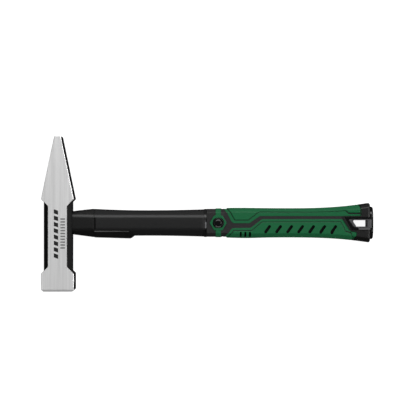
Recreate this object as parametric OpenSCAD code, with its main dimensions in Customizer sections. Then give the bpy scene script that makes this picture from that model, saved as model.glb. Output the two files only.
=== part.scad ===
// Cross peen hammer with a 300 g forged head and a fibreglass handle in a two-colour soft grip.
//
// Frame: +X runs along the handle from the head to the butt, +Y along the head from the striking
// face to the peen, +Z up. The hammer lies on its cheek: z = 0 is the lower cheek, and the origin
// is the point of that cheek straight below where the handle's axis crosses the head's axis.

/* [Head] */
// Length of the head from the striking face to the peen's edge
head_length = 109; // [105:0.5:113]
// Width of the square striking face, which is also the head's thickness
face_width = 23; // [22:0.5:24]
// Distance from the handle's axis to the striking face
face_reach = 48.2; // [46:0.2:50]
// Bevel round the striking face
face_bevel = 2; // [1:0.1:3]
// Length of the square block behind the striking face
face_block = 12.6; // [10:0.2:14]
// Width of the peen's narrow edge
peen_edge = 4.6; // [3:0.2:6]
// Distance from the handle's axis to the peen's widest point
peen_shoulder = 16.7; // [15:0.1:18]
// Width of the head across the waist, where the eye goes through
waist_width = 19.6; // [18:0.2:20.6]
// Width of the flat cheek between the waist's two corner reliefs
cheek_width = 13; // [12:0.5:14]

/* [Eye and core] */
// Height of the eye through the head, along the head
eye_height = 15.5; // [15:0.1:16]
// Width of the eye through the head, from cheek to cheek
eye_width = 10.5; // [10:0.1:11]
// Height of the fibreglass core rod
rod_height = 12; // [11:0.1:12.6]
// Thickness of the fibreglass core rod
rod_width = 7.4; // [7:0.1:8]

/* [Neck] */
// Half the neck's height at its slimmest point
neck_half_height = 8.84; // [8.5:0.02:9.1]
// Half the neck's thickness at its slimmest point
neck_half_width = 6.8; // [6.6:0.1:7.2]
// How much the neck swells in height towards the collar, on each side
collar_swell = 1; // [0.6:0.05:1.2]
// How much the neck swells towards the grip, on each side
grip_swell = 0.75; // [0.4:0.05:1]
// Where the shock collar ends and the bare neck starts
collar_end = 25.5; // [22:0.1:27]
// Where the overstrike guard ends
guard_end = 54; // [50:0.5:58]
// How far the overstrike guard stands below the neck
guard_depth = 2.1; // [1.5:0.1:2.5]

/* [Grip] */
// Where the neck ends and the stop ring starts
ring_start = 102.6; // [100:0.2:104]
// Width of the stop ring
ring_width = 1.9; // [1.5:0.1:2.5]
// Half the grip's height in the palm
grip_half_height = 10.3; // [10:0.1:10.8]
// Half the grip's thickness in the palm
grip_half_width = 8.5; // [8.2:0.1:9]
// How much the butt flares out in height, on each side
butt_flare = 3.85; // [3:0.05:4.5]
// How deep the green pads are let into the black base
pad_depth = 0.8; // [0.6:0.1:1]
// Width of the green band round the front of the grip
band_width = 4.2; // [3.5:0.1:5]
// Width of the band's hexagon across its flats
hexagon_width = 10.4; // [9.5:0.1:11]
// Diameter of the round medallion in the hexagon
medallion_diameter = 7; // [6:0.1:7.5]
// How many slanted slots each side of the lower pad has
slot_count = 7; // [3:1:7]
// How many short slots each side of the lower pad has under the first finger
short_slot_count = 3; // [1:1:3]

/* [Hidden] */
$fn = 64;

axis_z = face_width / 2;
peen_reach = head_length - face_reach;
half_face = face_width / 2;
half_waist = waist_width / 2;
half_cheek = cheek_width / 2;
through = 60;

rod_start = 0.6 - half_waist;
rod_end = 196;
eye_recess = 0.3;
collar_start_half_height = 8.1;
collar_end_half_height = 9.95;
collar_start_half_width = 6.6;
collar_end_half_width = 7.9;
collar_flat = 5.3;
collar_side_swell = 0.35;

slimmest_x = 62;
neck_flat = 4.8;
neck_drop = 0.2;
jacket_wall = 2.2;
guard_line = -5.6;
guard_start_depth = 0.35;

base_start = ring_start + ring_width;
ring_rise = 0.35;
ring_bite = 0.8;
jacket_end = 200;
palm_x = 160;
lip_x = 219;
flare_power = 2.7;
strap_x = 220.9;
strap_half_width = 10.5;
butt_x = 221.6;
lip_half_width = half_face - 0.05;
belly_x = 132;
belly_length = 12;
belly_depth = 0.42;
knuckle_x = 127;
knuckle_length = 18;
knuckle_rise = 0.28;
butt_lift = 0.25;
grip_edge = 2.9;

band_x = 112.6;
band_thickness = 0.6;
boss_thickness = 0.85;
medallion_rise = 0.95;
medallion_sink = 0.9;
stem_diameter = 2.6;
stem_length = 1.6;

slot_pitch = 7.73;
slot_first_x = 147.5;
slot_y = -4.4;
slot_length = 6.2;
slot_width = 1.4;
slot_angle = 57.5;
short_slot_x = 128.4;
short_slot_pitch = 3.2;
short_slot_y = -8;
short_slot_length = 3;
short_slot_width = 0.9;

dome_radius = 30;
dome_half_height = 11.4;
dome_half_width = 9.6;
dome_flat = 6.8;
dome_seat = 1.4;
liner_depth = 0.5;

black_plastic = "#26272a";
black_rubber = "#303133";
grip_green = "#1f6a41";

// The 2D outlines below are in the XY plane, as seen from above with the hammer on its cheek.
// Outlines that reach past the handle's edge end here.
beyond = 16;

upper_pad_outline = [
    [116.4, beyond], [117.3, 10.2], [121.9, 1.1], [123.6, -0.3], [134.4, -0.3], [141.8, 4.7],
    [213.3, 4.7], [213.3, 9.9], [211.8, beyond]
];
lower_pad_outline = [
    [116.9, -beyond], [119, -9.5], [123, -3.6], [135.3, -3.4], [143.4, 2.7], [199.6, 2.7],
    [204.9, -5.2], [206, -6.1], [209.2, -6.1], [210.1, -7.6], [206.6, -beyond]
];
tongue_outline = [
    [201.1, 4.1], [butt_x + 1, 4.1], [butt_x + 1, -5.2], [206.1, -5.2]
];
liner_outline = [
    [203.9, 2.7], [220.2, 2.7], [220.2, -3.5], [208, -3.5]
];
hanging_hole_outline = [
    [206.6, 1.9], [217.2, 1.9], [217.2, -2.7], [209.7, -2.7]
];

// How far x is along from a to b, held between 0 and 1.
function share(x, a, b) = min(1, max(0, (x - a) / (b - a)));

// The neck's swell: 0 at its slimmest point, and as much as is given at either end.
function swell(x, at_collar) = x < slimmest_x ? at_collar * pow(share(x, slimmest_x, collar_end), 2)
                                              : grip_swell * pow(share(x, slimmest_x, base_start), 2);

// The butt's flare: 0 up to the palm, and 1 at the lip.
function flare(x) = pow(share(x, palm_x, lip_x), flare_power);

// The little belly under the first finger, and the gentler rise over the knuckles.
function belly(x) = belly_depth * exp(-pow((x - belly_x) / belly_length, 2));
function knuckle(x) = knuckle_rise * exp(-pow((x - knuckle_x) / knuckle_length, 2));

function half_top(x) = x < base_start ? neck_half_height + swell(x, collar_swell)
                                      : grip_half_height + knuckle(x) + butt_flare * flare(x);
function half_bottom(x) = x < base_start ? half_top(x) + neck_drop
                                         : grip_half_height + belly(x) + (butt_flare - butt_lift) * flare(x);
function half_side(x) = x < base_start ? neck_half_width + swell(x, collar_side_swell)
    : grip_half_width + (lip_half_width - grip_half_width) * flare(x);

// Half the height of the flat side, between the two corner faces.
function half_flat(x) = x < base_start ? neck_flat : half_top(x) - grip_edge;

// A row is [x, half height above the axis, half height below it, half thickness, corner reach].
// The corner faces lie at 45 degrees, and their reach is how far they are from the axis.
function corner_reach(flat, side) = (flat + side) / sqrt(2);
function handle_row(x, grow) = [
    x, half_top(x) + grow, half_bottom(x) + grow, half_side(x) + grow,
    corner_reach(half_flat(x), half_side(x)) + grow
];
function handle_rows(from, to, steps, grow = 0) =
    [for (i = [0:steps]) handle_row(from + (to - from) * i / steps, grow)];

neck_rows = handle_rows(collar_end, ring_start, 12);
function grip_rows(grow = 0) = concat(
    handle_rows(base_start, palm_x, 8, grow),
    [for (i = [1:12]) handle_row(palm_x + (lip_x - palm_x) * i / 12, grow)]
);

// The seat of the stop ring, a little deeper than the jacket under the grip, so the ring keeps its wall.
seat = handle_row(base_start, -jacket_wall - ring_bite);
function moved(row, x) = [x, row[1], row[2], row[3], row[4]];

// The outline along X of one pair of faces: up along one side of the axis and back along the other.
function outline_of(rows, above, below) = concat(
    [for (r = rows) [r[0], r[above]]],
    [for (i = [len(rows) - 1:-1:0]) [rows[i][0], -rows[i][below]]]
);

// An eight-sided bar along the handle's axis that goes through the given rows.
module eight_sided(rows) {
    translate([0, 0, axis_z])
        intersection() {
            linear_extrude(through, center = true) polygon(outline_of(rows, 1, 2));
            rotate([90, 0, 0]) linear_extrude(through, center = true) polygon(outline_of(rows, 3, 3));
            rotate([45, 0, 0]) linear_extrude(through, center = true) polygon(outline_of(rows, 4, 4));
            rotate([-45, 0, 0]) linear_extrude(through, center = true) polygon(outline_of(rows, 4, 4));
        }
}

// A bar of rounded oblong section along the handle's axis.
module oblong_bar(from, to, height, width) {
    translate([from, 0, axis_z])
        rotate([90, 0, 90])
            linear_extrude(to - from)
                oblong(height, width);
}

module oblong(length, width) {
    square([length - width, width], center = true);
    for (side = [-1, 1]) translate([side * (length - width) / 2, 0]) circle(d = width);
}

// Cuts straight through from cheek to cheek.
module through_all() {
    translate([0, 0, axis_z]) linear_extrude(through, center = true) children();
}

// The same shape on the upper side and, mirrored, on the lower side.
module both_sides() {
    children();
    translate([0, 0, 2 * axis_z]) mirror([0, 0, 1]) children();
}

module head_outline() {
    slope = half_face - half_waist;
    block_top = face_block - face_reach;
    right_side = [
        [half_face - face_bevel, -face_reach], [half_face, face_bevel - face_reach],
        [half_face, block_top], [half_waist, block_top + slope],
        [half_waist, peen_shoulder - slope], [half_face, peen_shoulder],
        [peen_edge / 2, peen_reach]
    ];
    polygon(concat(right_side, [for (i = [len(right_side) - 1:-1:0]) [-right_side[i][0], right_side[i][1]]]));
}

// The 45 degree relief along one corner of the waist.
module corner_relief() {
    inset = half_face - half_cheek;
    reach = 2 * inset;
    block_top = face_block - face_reach;
    intersection() {
        through_all() polygon([
            [half_cheek, peen_shoulder - inset], [half_cheek + reach, peen_shoulder - inset + reach],
            [half_cheek + reach, block_top + inset - reach], [half_cheek, block_top + inset]
        ]);
        rotate([90, 0, 0]) linear_extrude(4 * peen_shoulder + 4 * face_reach, center = true)
            polygon([
                [half_cheek, face_width], [half_cheek + reach, face_width - reach],
                [half_cheek + reach, face_width + 1], [half_cheek, face_width + 1]
            ]);
    }
}

module hammer_head() {
    color("#c4c5c6")
        difference() {
            intersection() {
                linear_extrude(face_width) head_outline();
                rotate([90, 0, 90]) linear_extrude(through, center = true) polygon([
                    [-face_reach, face_bevel], [face_bevel - face_reach, 0], [peen_reach, 0],
                    [peen_reach, face_width], [face_bevel - face_reach, face_width],
                    [-face_reach, face_width - face_bevel]
                ]);
            }
            for (side = [0, 1]) mirror([side, 0, 0]) both_sides() corner_relief();
            oblong_bar(-through / 2, through / 2, eye_height, eye_width);
        }
}

module eye_resin() {
    color("#3a3326")
        difference() {
            oblong_bar(eye_recess - half_waist, half_waist, eye_height, eye_width);
            oblong_bar(rod_start, half_waist + 1, rod_height, rod_width);
        }
}

module core_rod() {
    color("#c9b56b") oblong_bar(rod_start, rod_end, rod_height, rod_width);
}

module collar_body() {
    eight_sided([
        [half_waist, collar_start_half_height, collar_start_half_height, collar_start_half_width,
            corner_reach(collar_flat, collar_start_half_width)],
        [collar_end, collar_end_half_height, collar_end_half_height + 0.2, collar_end_half_width,
            corner_reach(collar_flat, collar_end_half_width)]
    ]);
}

module shock_collar() {
    color(black_rubber)
        difference() {
            collar_body();
            oblong_bar(0, collar_end + 1, eye_height, eye_width);
        }
}

module overstrike_guard() {
    end_slope = 4.7;
    nose_height = 3.2;
    nose_slope = 9.4;
    color(black_rubber)
        difference() {
            intersection() {
                eight_sided([
                    for (at = [[collar_end, guard_start_depth + grip_swell], [guard_end, guard_depth]])
                        [at[0], 1, neck_half_height + neck_drop + at[1], half_side(at[0]) + 0.7,
                            corner_reach(neck_flat, half_side(at[0])) + 0.7]
                ]);
                through_all() polygon([
                    [collar_end, guard_line], [guard_end - end_slope, guard_line],
                    [guard_end, guard_line - nose_height], [guard_end - nose_slope, -beyond],
                    [collar_end, -beyond]
                ]);
            }
            eight_sided(neck_rows);
        }
}

jacket_rows = concat(
    [seat, for (i = [1:5]) handle_row(base_start + (palm_x - base_start) * i / 5, -jacket_wall)],
    [for (i = [1:6]) handle_row(palm_x + (jacket_end - palm_x) * i / 6, -jacket_wall)]
);

// The hard jacket under the soft grip, which the base and the end plug fit round.
module jacket_under_grip() {
    eight_sided(jacket_rows);
}

module neck_jacket() {
    color(black_plastic)
        difference() {
            union() {
                oblong_bar(half_waist, collar_end + 2, eye_height, eye_width);
                eight_sided(concat(neck_rows, [moved(seat, ring_start)], jacket_rows));
            }
            oblong_bar(0, rod_end, rod_height, rod_width);
            medallion_stems();
        }
}

module stop_ring() {
    outer = handle_row(ring_start, ring_rise);
    color("#1b1c1e")
        difference() {
            eight_sided([outer, moved(outer, base_start)]);
            eight_sided([moved(seat, ring_start - 1), moved(seat, base_start + 1)]);
        }
}

// The base's own surface, on which the pads and the band lie.
module base_body() {
    eight_sided(grip_rows(-pad_depth));
}

// The black butt, which is flush with the pads.
module butt_skin() {
    difference() {
        intersection() {
            eight_sided(grip_rows());
            through_all() polygon([[201, 4.7], [lip_x + 1, beyond], [lip_x + 1, -beyond], [204.9, -5.2]]);
        }
        through_all() polygon(upper_pad_outline);
        through_all() polygon(lower_pad_outline);
    }
}

module medallion_seats() {
    both_sides()
        translate([band_x, 0, axis_z + half_side(band_x) - pad_depth - medallion_sink])
            cylinder(d = medallion_diameter, h = medallion_sink + medallion_rise);
}

module medallion_stems() {
    both_sides()
        translate([band_x, 0, axis_z + half_side(band_x) - pad_depth - medallion_sink - stem_length])
            cylinder(d = stem_diameter, h = stem_length + 0.1);
}

module grip_base() {
    color(black_rubber)
        difference() {
            union() {
                base_body();
                butt_skin();
            }
            jacket_under_grip();
            through_all() polygon(tongue_outline);
            plug_dome();
            medallion_seats();
            medallion_stems();
        }
}

module hexagon() {
    circle(d = hexagon_width / cos(30), $fn = 6);
}

module hexagon_band() {
    from = band_x - band_width / 2;
    to = band_x + band_width / 2;
    color(grip_green)
        difference() {
            union() {
                eight_sided(handle_rows(from, to, 1, band_thickness - pad_depth));
                both_sides()
                    translate([band_x, 0, axis_z + half_side(band_x) - pad_depth])
                        linear_extrude(boss_thickness) hexagon();
            }
            base_body();
            medallion_seats();
        }
}

module pad_between(outline) {
    difference() {
        intersection() {
            eight_sided(grip_rows());
            through_all() polygon(outline);
        }
        base_body();
    }
}

module upper_pad() {
    color(grip_green) pad_between(upper_pad_outline);
}

module slots() {
    for (i = [0:slot_count - 1])
        translate([slot_first_x + i * slot_pitch, slot_y]) rotate(slot_angle) oblong(slot_length, slot_width);
    for (i = [0:short_slot_count - 1])
        translate([short_slot_x + i * short_slot_pitch, short_slot_y])
            rotate(90) oblong(short_slot_length, short_slot_width);
}

module lower_pad() {
    color(grip_green)
        difference() {
            pad_between(lower_pad_outline);
            through_all() slots();
        }
}

module medallion() {
    color("#141416") {
        translate([band_x, 0, axis_z + half_side(band_x) - pad_depth - medallion_sink])
            cylinder(d = medallion_diameter, h = medallion_sink + medallion_rise);
        translate([band_x, 0, axis_z + half_side(band_x) - pad_depth - medallion_sink - stem_length])
            cylinder(d = stem_diameter, h = stem_length);
    }
}

module front_medallion() {
    medallion();
}

module back_medallion() {
    translate([0, 0, 2 * axis_z]) mirror([0, 0, 1]) medallion();
}

// The oval dome that closes the butt.
module plug_dome() {
    dome_sides = [
        0, dome_half_height, dome_half_height, dome_half_width, corner_reach(dome_flat, dome_half_width)
    ];
    intersection() {
        eight_sided([moved(dome_sides, lip_x - dome_seat), moved(dome_sides, butt_x + 1)]);
        translate([butt_x - dome_radius, 0, axis_z]) sphere(r = dome_radius);
    }
}

// The strap that comes out of the butt, carries the hanging eye and closes over the dome.
module strap(grow) {
    tip = [strap_x, dome_half_height, dome_half_height, strap_half_width + grow,
        corner_reach(dome_half_height, strap_half_width) + grow];
    eight_sided(concat(grip_rows(grow), [tip]));
}

module end_plug() {
    color(black_plastic)
        difference() {
            union() {
                intersection() {
                    strap(0);
                    through_all() polygon(tongue_outline);
                }
                plug_dome();
            }
            through_all() polygon(liner_outline);
        }
}

// The grey liner of the hanging eye, a little below the strap's surface.
module eye_liner() {
    color("#55575a")
        difference() {
            intersection() {
                strap(-liner_depth);
                through_all() polygon(liner_outline);
            }
            through_all() polygon(hanging_hole_outline);
        }
}

hammer_head();
eye_resin();
core_rod();
shock_collar();
overstrike_guard();
neck_jacket();
stop_ring();
grip_base();
hexagon_band();
upper_pad();
lower_pad();
front_medallion();
back_medallion();
end_plug();
eye_liner();
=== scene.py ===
"""Cross peen hammer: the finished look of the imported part, in metres and in the part's own frame."""

import math

import bmesh
import bpy
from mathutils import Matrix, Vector


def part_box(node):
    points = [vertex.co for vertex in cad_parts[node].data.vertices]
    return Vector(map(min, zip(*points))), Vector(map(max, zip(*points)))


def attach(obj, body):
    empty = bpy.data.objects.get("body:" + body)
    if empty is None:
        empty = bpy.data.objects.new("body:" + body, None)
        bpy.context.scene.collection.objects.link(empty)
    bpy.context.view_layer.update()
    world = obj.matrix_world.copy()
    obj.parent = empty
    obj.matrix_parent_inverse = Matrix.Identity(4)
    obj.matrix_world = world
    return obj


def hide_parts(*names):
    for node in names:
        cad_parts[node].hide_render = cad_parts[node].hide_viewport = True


bl_info = {
    "name": "Cross Peen Hammer",
    "version": (1, 0, 0),
    "blender": (4, 5, 0),
    "location": "View3D > Sidebar > Hammer",
    "description": "Builds a cross peen hammer with a soft two-colour grip, and its studio",
    "category": "Add Mesh",
}

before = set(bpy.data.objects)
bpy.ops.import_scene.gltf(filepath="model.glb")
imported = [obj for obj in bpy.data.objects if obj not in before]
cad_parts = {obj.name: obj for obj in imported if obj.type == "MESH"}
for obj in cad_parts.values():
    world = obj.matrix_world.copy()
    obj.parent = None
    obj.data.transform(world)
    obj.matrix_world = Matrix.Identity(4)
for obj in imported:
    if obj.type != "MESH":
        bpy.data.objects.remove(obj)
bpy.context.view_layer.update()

MM = 0.001
EIGHTH = math.radians(45)
CUT_THROUGH = 60
WELD = 0.002


def box_mm(node):
    """A node's lowest and highest corners in millimetres."""
    low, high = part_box(node)
    return [v / MM for v in low], [v / MM for v in high]


HEAD_LOW, HEAD_HIGH = box_mm("hammer_head")
AXIS_Z = (HEAD_LOW[2] + HEAD_HIGH[2]) / 2
FACE_Y, PEEN_Y = HEAD_LOW[1], HEAD_HIGH[1]
HALF_FACE = HEAD_HIGH[0]
(COLLAR_START, _, _), (COLLAR_END, COLLAR_TOP, _) = box_mm("shock_collar")
(_, GUARD_LOW, _), (GUARD_END, GUARD_LINE, _) = box_mm("overstrike_guard")
(RING_START, _, _), (BASE_START, _, _) = box_mm("stop_ring")
BAND_X = sum(corner[0] for corner in box_mm("hexagon_band")) / 2
LIP_X, BUTT_X = box_mm("grip_base")[1][0], box_mm("end_plug")[1][0]
STRAP_SETBACK = 0.7
STRAP_X = BUTT_X - STRAP_SETBACK

# The handle's own shape, in millimetres.
SLIMMEST_X = 62
NECK_HALF_HEIGHT = 8.84
NECK_DROP = 0.2
NECK_HALF_WIDTH = 6.8
NECK_FLAT = 4.8
COLLAR_SWELL, COLLAR_SIDE_SWELL, GRIP_SWELL = 1.0, 0.35, 0.75
PALM_X = 160
PALM_HALF_HEIGHT, PALM_HALF_WIDTH = 10.3, 8.5
GRIP_EDGE = 2.9
BUTT_FLARE = 3.85
FLARE_POWER = 2.7
LIP_CLEARANCE = 0.05
LIP_HALF_WIDTH = AXIS_Z - LIP_CLEARANCE
BELLY_X, BELLY_LENGTH, BELLY_DEPTH = 132, 12, 0.42
KNUCKLE_X, KNUCKLE_LENGTH, KNUCKLE_RISE = 127, 18, 0.28
BUTT_LIFT = 0.25
PAD_DEPTH = 0.8
COLLAR_ROOT_HEIGHT, COLLAR_ROOT_WIDTH, COLLAR_WIDENING, COLLAR_CURVE = 8.1, 6.6, 1.3, 0.8
COLLAR_FLAT, COLLAR_FLAT_LOSS = 5.3, 0.4
GUARD_STANDOFF, GUARD_TAPER, GUARD_FLAT_GAIN = 0.7, 0.9, 0.3
GUARD_UPPER_HEIGHT, GUARD_UPPER_FLAT = 4.0, 2.6

# Corner radii: beside the flat side, and at the outer edge.
NECK_CORNERS = (4.0, 3.6)
GRIP_CORNERS = (1.4, 3.6)
GUARD_CORNERS = (0.6, 1.2)

# The dome's whole section, in the order that neck_section gives.
DOME_SECTION = (11.4, 11.4, 9.6, 7.2, 7.2, (4.0, 2.0))

# Degrees an edge has to turn by: to show as a facet, to show on a soft piece, and to be rounded as a rim.
FACET, SOFT, RIM = 18, 40, 50


def share(x, a, b):
    return min(1.0, max(0.0, (x - a) / (b - a)))


def neck_section(x):
    """Half heights over and under the axis, half thickness, half flats over and under, and corner radii."""
    if x < SLIMMEST_X:
        part = share(x, SLIMMEST_X, COLLAR_END) ** 2
        swell, side_swell = COLLAR_SWELL * part, COLLAR_SIDE_SWELL * part
    else:
        swell = side_swell = GRIP_SWELL * share(x, SLIMMEST_X, BASE_START) ** 2
    top = NECK_HALF_HEIGHT + swell
    return top, top + NECK_DROP, NECK_HALF_WIDTH + side_swell, NECK_FLAT, NECK_FLAT, NECK_CORNERS


def grip_section(x):
    flare = share(x, PALM_X, LIP_X) ** FLARE_POWER
    top = PALM_HALF_HEIGHT + KNUCKLE_RISE * math.exp(-(((x - KNUCKLE_X) / KNUCKLE_LENGTH) ** 2))
    bottom = PALM_HALF_HEIGHT + BELLY_DEPTH * math.exp(-(((x - BELLY_X) / BELLY_LENGTH) ** 2))
    top += BUTT_FLARE * flare
    bottom += (BUTT_FLARE - BUTT_LIFT) * flare
    side = PALM_HALF_WIDTH + (LIP_HALF_WIDTH - PALM_HALF_WIDTH) * flare
    return top, bottom, side, top - GRIP_EDGE, bottom - GRIP_EDGE, GRIP_CORNERS


def collar_section(x):
    along = share(x, COLLAR_START, COLLAR_END)
    top = COLLAR_ROOT_HEIGHT + (COLLAR_TOP - COLLAR_ROOT_HEIGHT) * along**COLLAR_CURVE
    bottom = COLLAR_ROOT_HEIGHT + (COLLAR_TOP + NECK_DROP - COLLAR_ROOT_HEIGHT) * along
    flat = COLLAR_FLAT - COLLAR_FLAT_LOSS * along
    return top, bottom, COLLAR_ROOT_WIDTH + COLLAR_WIDENING * along, flat, flat, NECK_CORNERS


def guard_section(x):
    side = neck_section(x)[2] + GUARD_STANDOFF
    bottom = -GUARD_LOW - GUARD_TAPER * (1 - share(x, COLLAR_END, GUARD_END))
    return GUARD_UPPER_HEIGHT, bottom, side, GUARD_UPPER_FLAT, NECK_FLAT + GUARD_FLAT_GAIN, GUARD_CORNERS


def dome_section(x):
    return DOME_SECTION


# --- Handle surfaces ---
# A quarter of a section runs from the middle of the flat side to the middle of the top
# in five stretches: flat side, small corner, corner face, small corner, top.


def stretches(height, side, flat, corners):
    inner, outer = corners
    turn = math.tan(EIGHTH / 2)
    return [
        flat - inner * turn,
        inner * EIGHTH,
        math.sqrt(2) * (height - flat) - (inner + outer) * turn,
        outer * EIGHTH,
        side - (height - flat) - outer * turn,
    ]


def quarter_point(height, side, flat, corners, q):
    """The point and the outward direction at q, which counts the stretches from 0 to 5."""
    inner, outer = corners
    turn = math.tan(EIGHTH / 2)
    low_y, high_z = flat - inner * turn, side - (height - flat) - outer * turn
    k = min(int(q), 4)
    f = q - k
    if k == 0:
        return f * low_y, side, 0.0, 1.0
    if k == 4:
        return height, high_z * (1 - f), 1.0, 0.0
    s = math.sin(EIGHTH)
    if k == 2:
        y0, z0 = low_y + inner * s, side - inner + inner * s
        y1, z1 = height - outer + outer * s, high_z + outer * s
        return y0 + (y1 - y0) * f, z0 + (z1 - z0) * f, s, s
    radius, cy, cz = (inner, low_y, side - inner) if k == 1 else (outer, height - outer, high_z)
    angle = EIGHTH * (f if k == 1 else 1 + f)
    return cy + radius * math.sin(angle), cz + radius * math.cos(angle), math.sin(angle), math.cos(angle)


CORNER_STEPS = [1, 1.25, 1.5, 1.75, 2, 3, 3.25, 3.5, 3.75, 4]
RING = (
    [(q, 1, 1) for q in CORNER_STEPS]
    + [(q, 1, -1) for q in reversed(CORNER_STEPS)]
    + [(q, -1, -1) for q in CORNER_STEPS]
    + [(q, -1, 1) for q in reversed(CORNER_STEPS)]
)

PALM_STRETCHES = stretches(PALM_HALF_HEIGHT, PALM_HALF_WIDTH, PALM_HALF_HEIGHT - GRIP_EDGE, GRIP_CORNERS)
PALM_ENDS = [sum(PALM_STRETCHES[: k + 1]) for k in range(5)]
CREST = PALM_ENDS[4]
TRUE_HEIGHT = 5.2


def sheet_point(x, v, h):
    """A point of the grip, v round from the middle of the upper side and h over the skin, in metres."""
    far = abs(v) > CREST
    if far:
        v = math.copysign(2 * CREST, v) - v
    top, bottom, side, flat_top, flat_bottom, corners = grip_section(x)
    height, flat = (top, flat_top) if v >= 0 else (bottom, flat_bottom)
    straight = flat - corners[0] * math.tan(EIGHTH / 2)
    d = abs(v)
    if d <= TRUE_HEIGHT:
        q = d / straight
    elif d <= PALM_ENDS[0]:
        y = TRUE_HEIGHT + (straight - TRUE_HEIGHT) * (d - TRUE_HEIGHT) / (PALM_ENDS[0] - TRUE_HEIGHT)
        q = y / straight
    else:
        k = next((n for n in range(1, 5) if d <= PALM_ENDS[n]), 4)
        q = k + (d - PALM_ENDS[k - 1]) / PALM_STRETCHES[k]
    y, z, ny, nz = quarter_point(height, side, flat, corners, min(q, 5.0))
    y, z = y + ny * h, z + nz * h
    return x * MM, math.copysign(y, v) * MM, (AXIS_Z + (-z if far else z)) * MM


# --- Modelling helpers ---


def clear_selection():
    if bpy.context.mode != "OBJECT":
        bpy.ops.object.mode_set(mode="OBJECT")
    bpy.ops.object.select_all(action="DESELECT")


def pick(*objs):
    clear_selection()
    for obj in objs:
        obj.select_set(True)
    bpy.context.view_layer.objects.active = objs[0]


def edit(obj, mode="VERT"):
    pick(obj)
    bpy.ops.object.mode_set(mode="EDIT")
    bpy.ops.mesh.select_mode(type=mode)


def edit_all(obj):
    edit(obj)
    bpy.ops.mesh.select_all(action="SELECT")


def face_outwards():
    """Turns every face of the mesh that is being edited outwards."""
    bpy.ops.mesh.select_all(action="SELECT")
    bpy.ops.mesh.normals_make_consistent(inside=False)


def slice_at(place, normal, **settings):
    """Cuts the whole mesh that is being edited at a plane through a place in millimetres."""
    bpy.ops.mesh.select_all(action="SELECT")
    bpy.ops.mesh.bisect(plane_co=[c * MM for c in place], plane_no=normal, **settings)


def weld():
    bpy.ops.mesh.select_all(action="SELECT")
    bpy.ops.mesh.remove_doubles(threshold=WELD * MM)


def give(obj, *materials):
    for material in materials:
        obj.data.materials.append(material)


def done():
    bpy.ops.object.mode_set(mode="OBJECT")


def choose(obj, kind, test):
    """Selects the faces, edges or vertices that pass the test, and nothing else."""
    edit(obj, {"verts": "VERT", "edges": "EDGE", "faces": "FACE"}[kind])
    bpy.ops.mesh.select_all(action="DESELECT")
    mesh = bmesh.from_edit_mesh(obj.data)
    found = 0
    for item in getattr(mesh, kind):
        if test(item):
            item.select_set(True)
            found += 1
    mesh.select_flush_mode()
    bmesh.update_edit_mesh(obj.data)
    if not found:
        raise RuntimeError(f"nothing to select on {obj.name}")


def bevel_edges(obj, test, width, segments, **settings):
    """Bevels the edges that pass the test, by a width in millimetres."""
    choose(obj, "edges", test)
    bpy.ops.mesh.bevel(offset=width * MM, segments=segments, **settings)
    done()


def apply_modifier(obj, kind, **settings):
    pick(obj)
    bpy.ops.object.modifier_add(type=kind)
    modifier = obj.modifiers[-1]
    for key, value in settings.items():
        setattr(modifier, key, value)
    bpy.ops.object.modifier_apply(modifier=modifier.name)


def new_primitive(name):
    obj = bpy.context.object
    bpy.ops.object.transform_apply(location=True, rotation=True, scale=True)
    obj.name = obj.data.name = name
    return obj


def outline_plate(name, outline, bottom, top):
    """A plate of an outline in millimetres, drawn point by point and pulled up from bottom to top."""
    clear_selection()
    x, y = outline[0]
    bpy.ops.mesh.primitive_plane_add(size=MM, location=(x * MM, y * MM, bottom * MM))
    obj = new_primitive(name)
    edit_all(obj)
    bpy.ops.mesh.merge(type="CENTER")
    for nx, ny in outline[1:]:
        step = ((nx - x) * MM, (ny - y) * MM, 0)
        bpy.ops.mesh.extrude_vertices_move(TRANSFORM_OT_translate={"value": step})
        x, y = nx, ny
    bpy.ops.mesh.select_all(action="SELECT")
    bpy.ops.mesh.edge_face_add()
    bpy.ops.mesh.extrude_region_move(TRANSFORM_OT_translate={"value": (0, 0, (top - bottom) * MM)})
    face_outwards()
    done()
    return obj


def through_plate(name, outline):
    return outline_plate(name, outline, AXIS_Z - CUT_THROUGH / 2, AXIS_Z + CUT_THROUGH / 2)


def combine(obj, other, operation):
    """Adds, cuts or keeps the shared part of another solid, which is used up."""
    apply_modifier(obj, "BOOLEAN", object=other, operation=operation, solver="EXACT")
    bpy.data.objects.remove(other, do_unlink=True)
    edit(obj)
    weld()
    done()


def cut(obj, other):
    combine(obj, other, "DIFFERENCE")


def join(*objs):
    pick(*objs)
    bpy.ops.object.join()
    return objs[0]


def round_edges(obj, width, segments=2, angle=30):
    apply_modifier(
        obj, "BEVEL", width=width * MM, segments=segments, limit_method="ANGLE",
        angle_limit=math.radians(angle), miter_outer="MITER_ARC", use_clamp_overlap=True,
    )


def smooth(obj, angle=SOFT):
    pick(obj)
    bpy.ops.object.shade_smooth_by_angle(angle=math.radians(angle))
    apply_modifier(obj, "WEIGHTED_NORMAL", keep_sharp=True, weight=80)


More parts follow.
